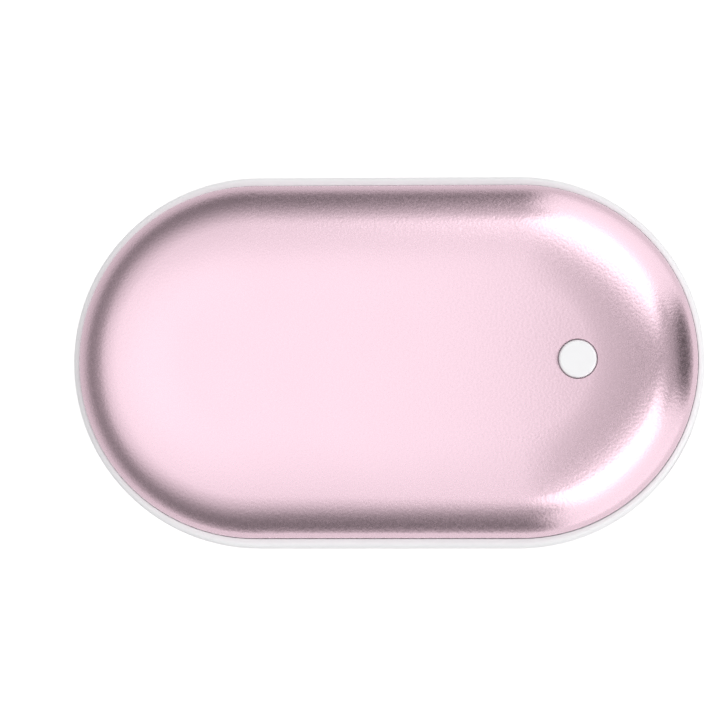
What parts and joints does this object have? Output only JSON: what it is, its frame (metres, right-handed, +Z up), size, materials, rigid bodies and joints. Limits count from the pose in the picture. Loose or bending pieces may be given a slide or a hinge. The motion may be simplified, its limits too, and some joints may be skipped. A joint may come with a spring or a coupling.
{
  "type": "rechargeable hand warmer",
  "caption": "Pebble-shaped rechargeable hand warmer with two aluminium dishes on a plastic band and a push button.",
  "frame": {"origin": "centre of the underside, where the lower shell's flat crown rests", "axes": "+Z up out of the upper shell, through the button's side; +X along the length towards the button and the sockets; +Y across the width"},
  "size_m": [0.1018, 0.06, 0.0243],
  "materials": {
    "shell_pink": "pink anodised over a fine bead-blasted surface",
    "frame_white": "moulded white plastic, soft satin",
    "button_white": "moulded white plastic, smooth",
    "gasket_black": "adhesive foam",
    "switch_black": "moulded black plastic",
    "socket_steel": "plated sheet steel",
    "board_green": "green solder mask over glass fibre",
    "screw_steel": "zinc plated",
    "chip_black": "moulded epoxy",
    "capacitor_tan": "ceramic",
    "light_clear": "clear moulded plastic",
    "light_phosphor": "small white light-emitting diode",
    "tongue_white": "moulded white plastic",
    "tongue_black": "moulded black plastic",
    "contact_gold": "gold plated",
    "cradle_white": "moulded white plastic",
    "cell_wrap": "shrunk plastic sleeve over a steel can",
    "washer_paper": "pressed insulating paper",
    "nickel": "rolled nickel strip",
    "lead_wire": "silicone insulation",
    "heater_wire": "silicone insulation",
    "film_amber": "polyimide film with an etched track",
    "pad_grey": "soft insulating felt",
    "sensor_black": "epoxy bead"
  },
  "bodies": {
    "housing": {"top_shell": "shell_pink", "bottom_shell": "shell_pink", "mid_frame": "frame_white", "upper_rim_gasket": "gasket_black", "lower_rim_gasket": "gasket_black", "switch_body": "switch_black", "switch_cover": "socket_steel", "switch_dome": "socket_steel", "circuit_board": "board_green", "board_screws": "screw_steel", "controller_chip": "chip_black", "heater_transistors": "chip_black", "power_inductor": "chip_black", "chip_capacitors": "capacitor_tan", "status_lights": "light_phosphor", "light_pipe": "light_clear", "outlet_socket_shell": "socket_steel", "outlet_socket_tongue": "tongue_white", "outlet_socket_contacts": "contact_gold", "charging_socket_shell": "socket_steel", "charging_socket_tongue": "tongue_black", "charging_socket_contacts": "contact_gold", "cell_cradle": "cradle_white", "cradle_screws": "screw_steel", "left_cell": "cell_wrap", "right_cell": "cell_wrap", "cell_end_washers": "washer_paper", "front_joining_strip": "nickel", "rear_joining_strip": "nickel", "battery_leads": "lead_wire", "upper_heater_film": "film_amber", "lower_heater_film": "film_amber", "upper_heater_leads": "heater_wire", "lower_heater_leads": "heater_wire", "upper_insulation_pad": "pad_grey", "lower_insulation_pad": "pad_grey", "upper_temperature_sensor": "sensor_black", "lower_temperature_sensor": "sensor_black"},
    "button": {"button_cap": "button_white"},
    "plunger": {"switch_plunger": "switch_black"}
  },
  "joints": [
    {"name": "button_press", "type": "slide", "parent": "housing", "child": "button", "axis": [0, 0, -1], "range_m": [0, 0.0004], "stiffness_N_per_m": 2000},
    {"name": "plunger_press", "type": "slide", "parent": "housing", "child": "plunger", "axis": [0, 0, -1], "range_m": [0, 0.0004], "deforming": ["switch_dome"]}
  ],
  "couplings": [
    {"joint": "plunger_press", "follows": "button_press", "ratio": 1}
  ]
}
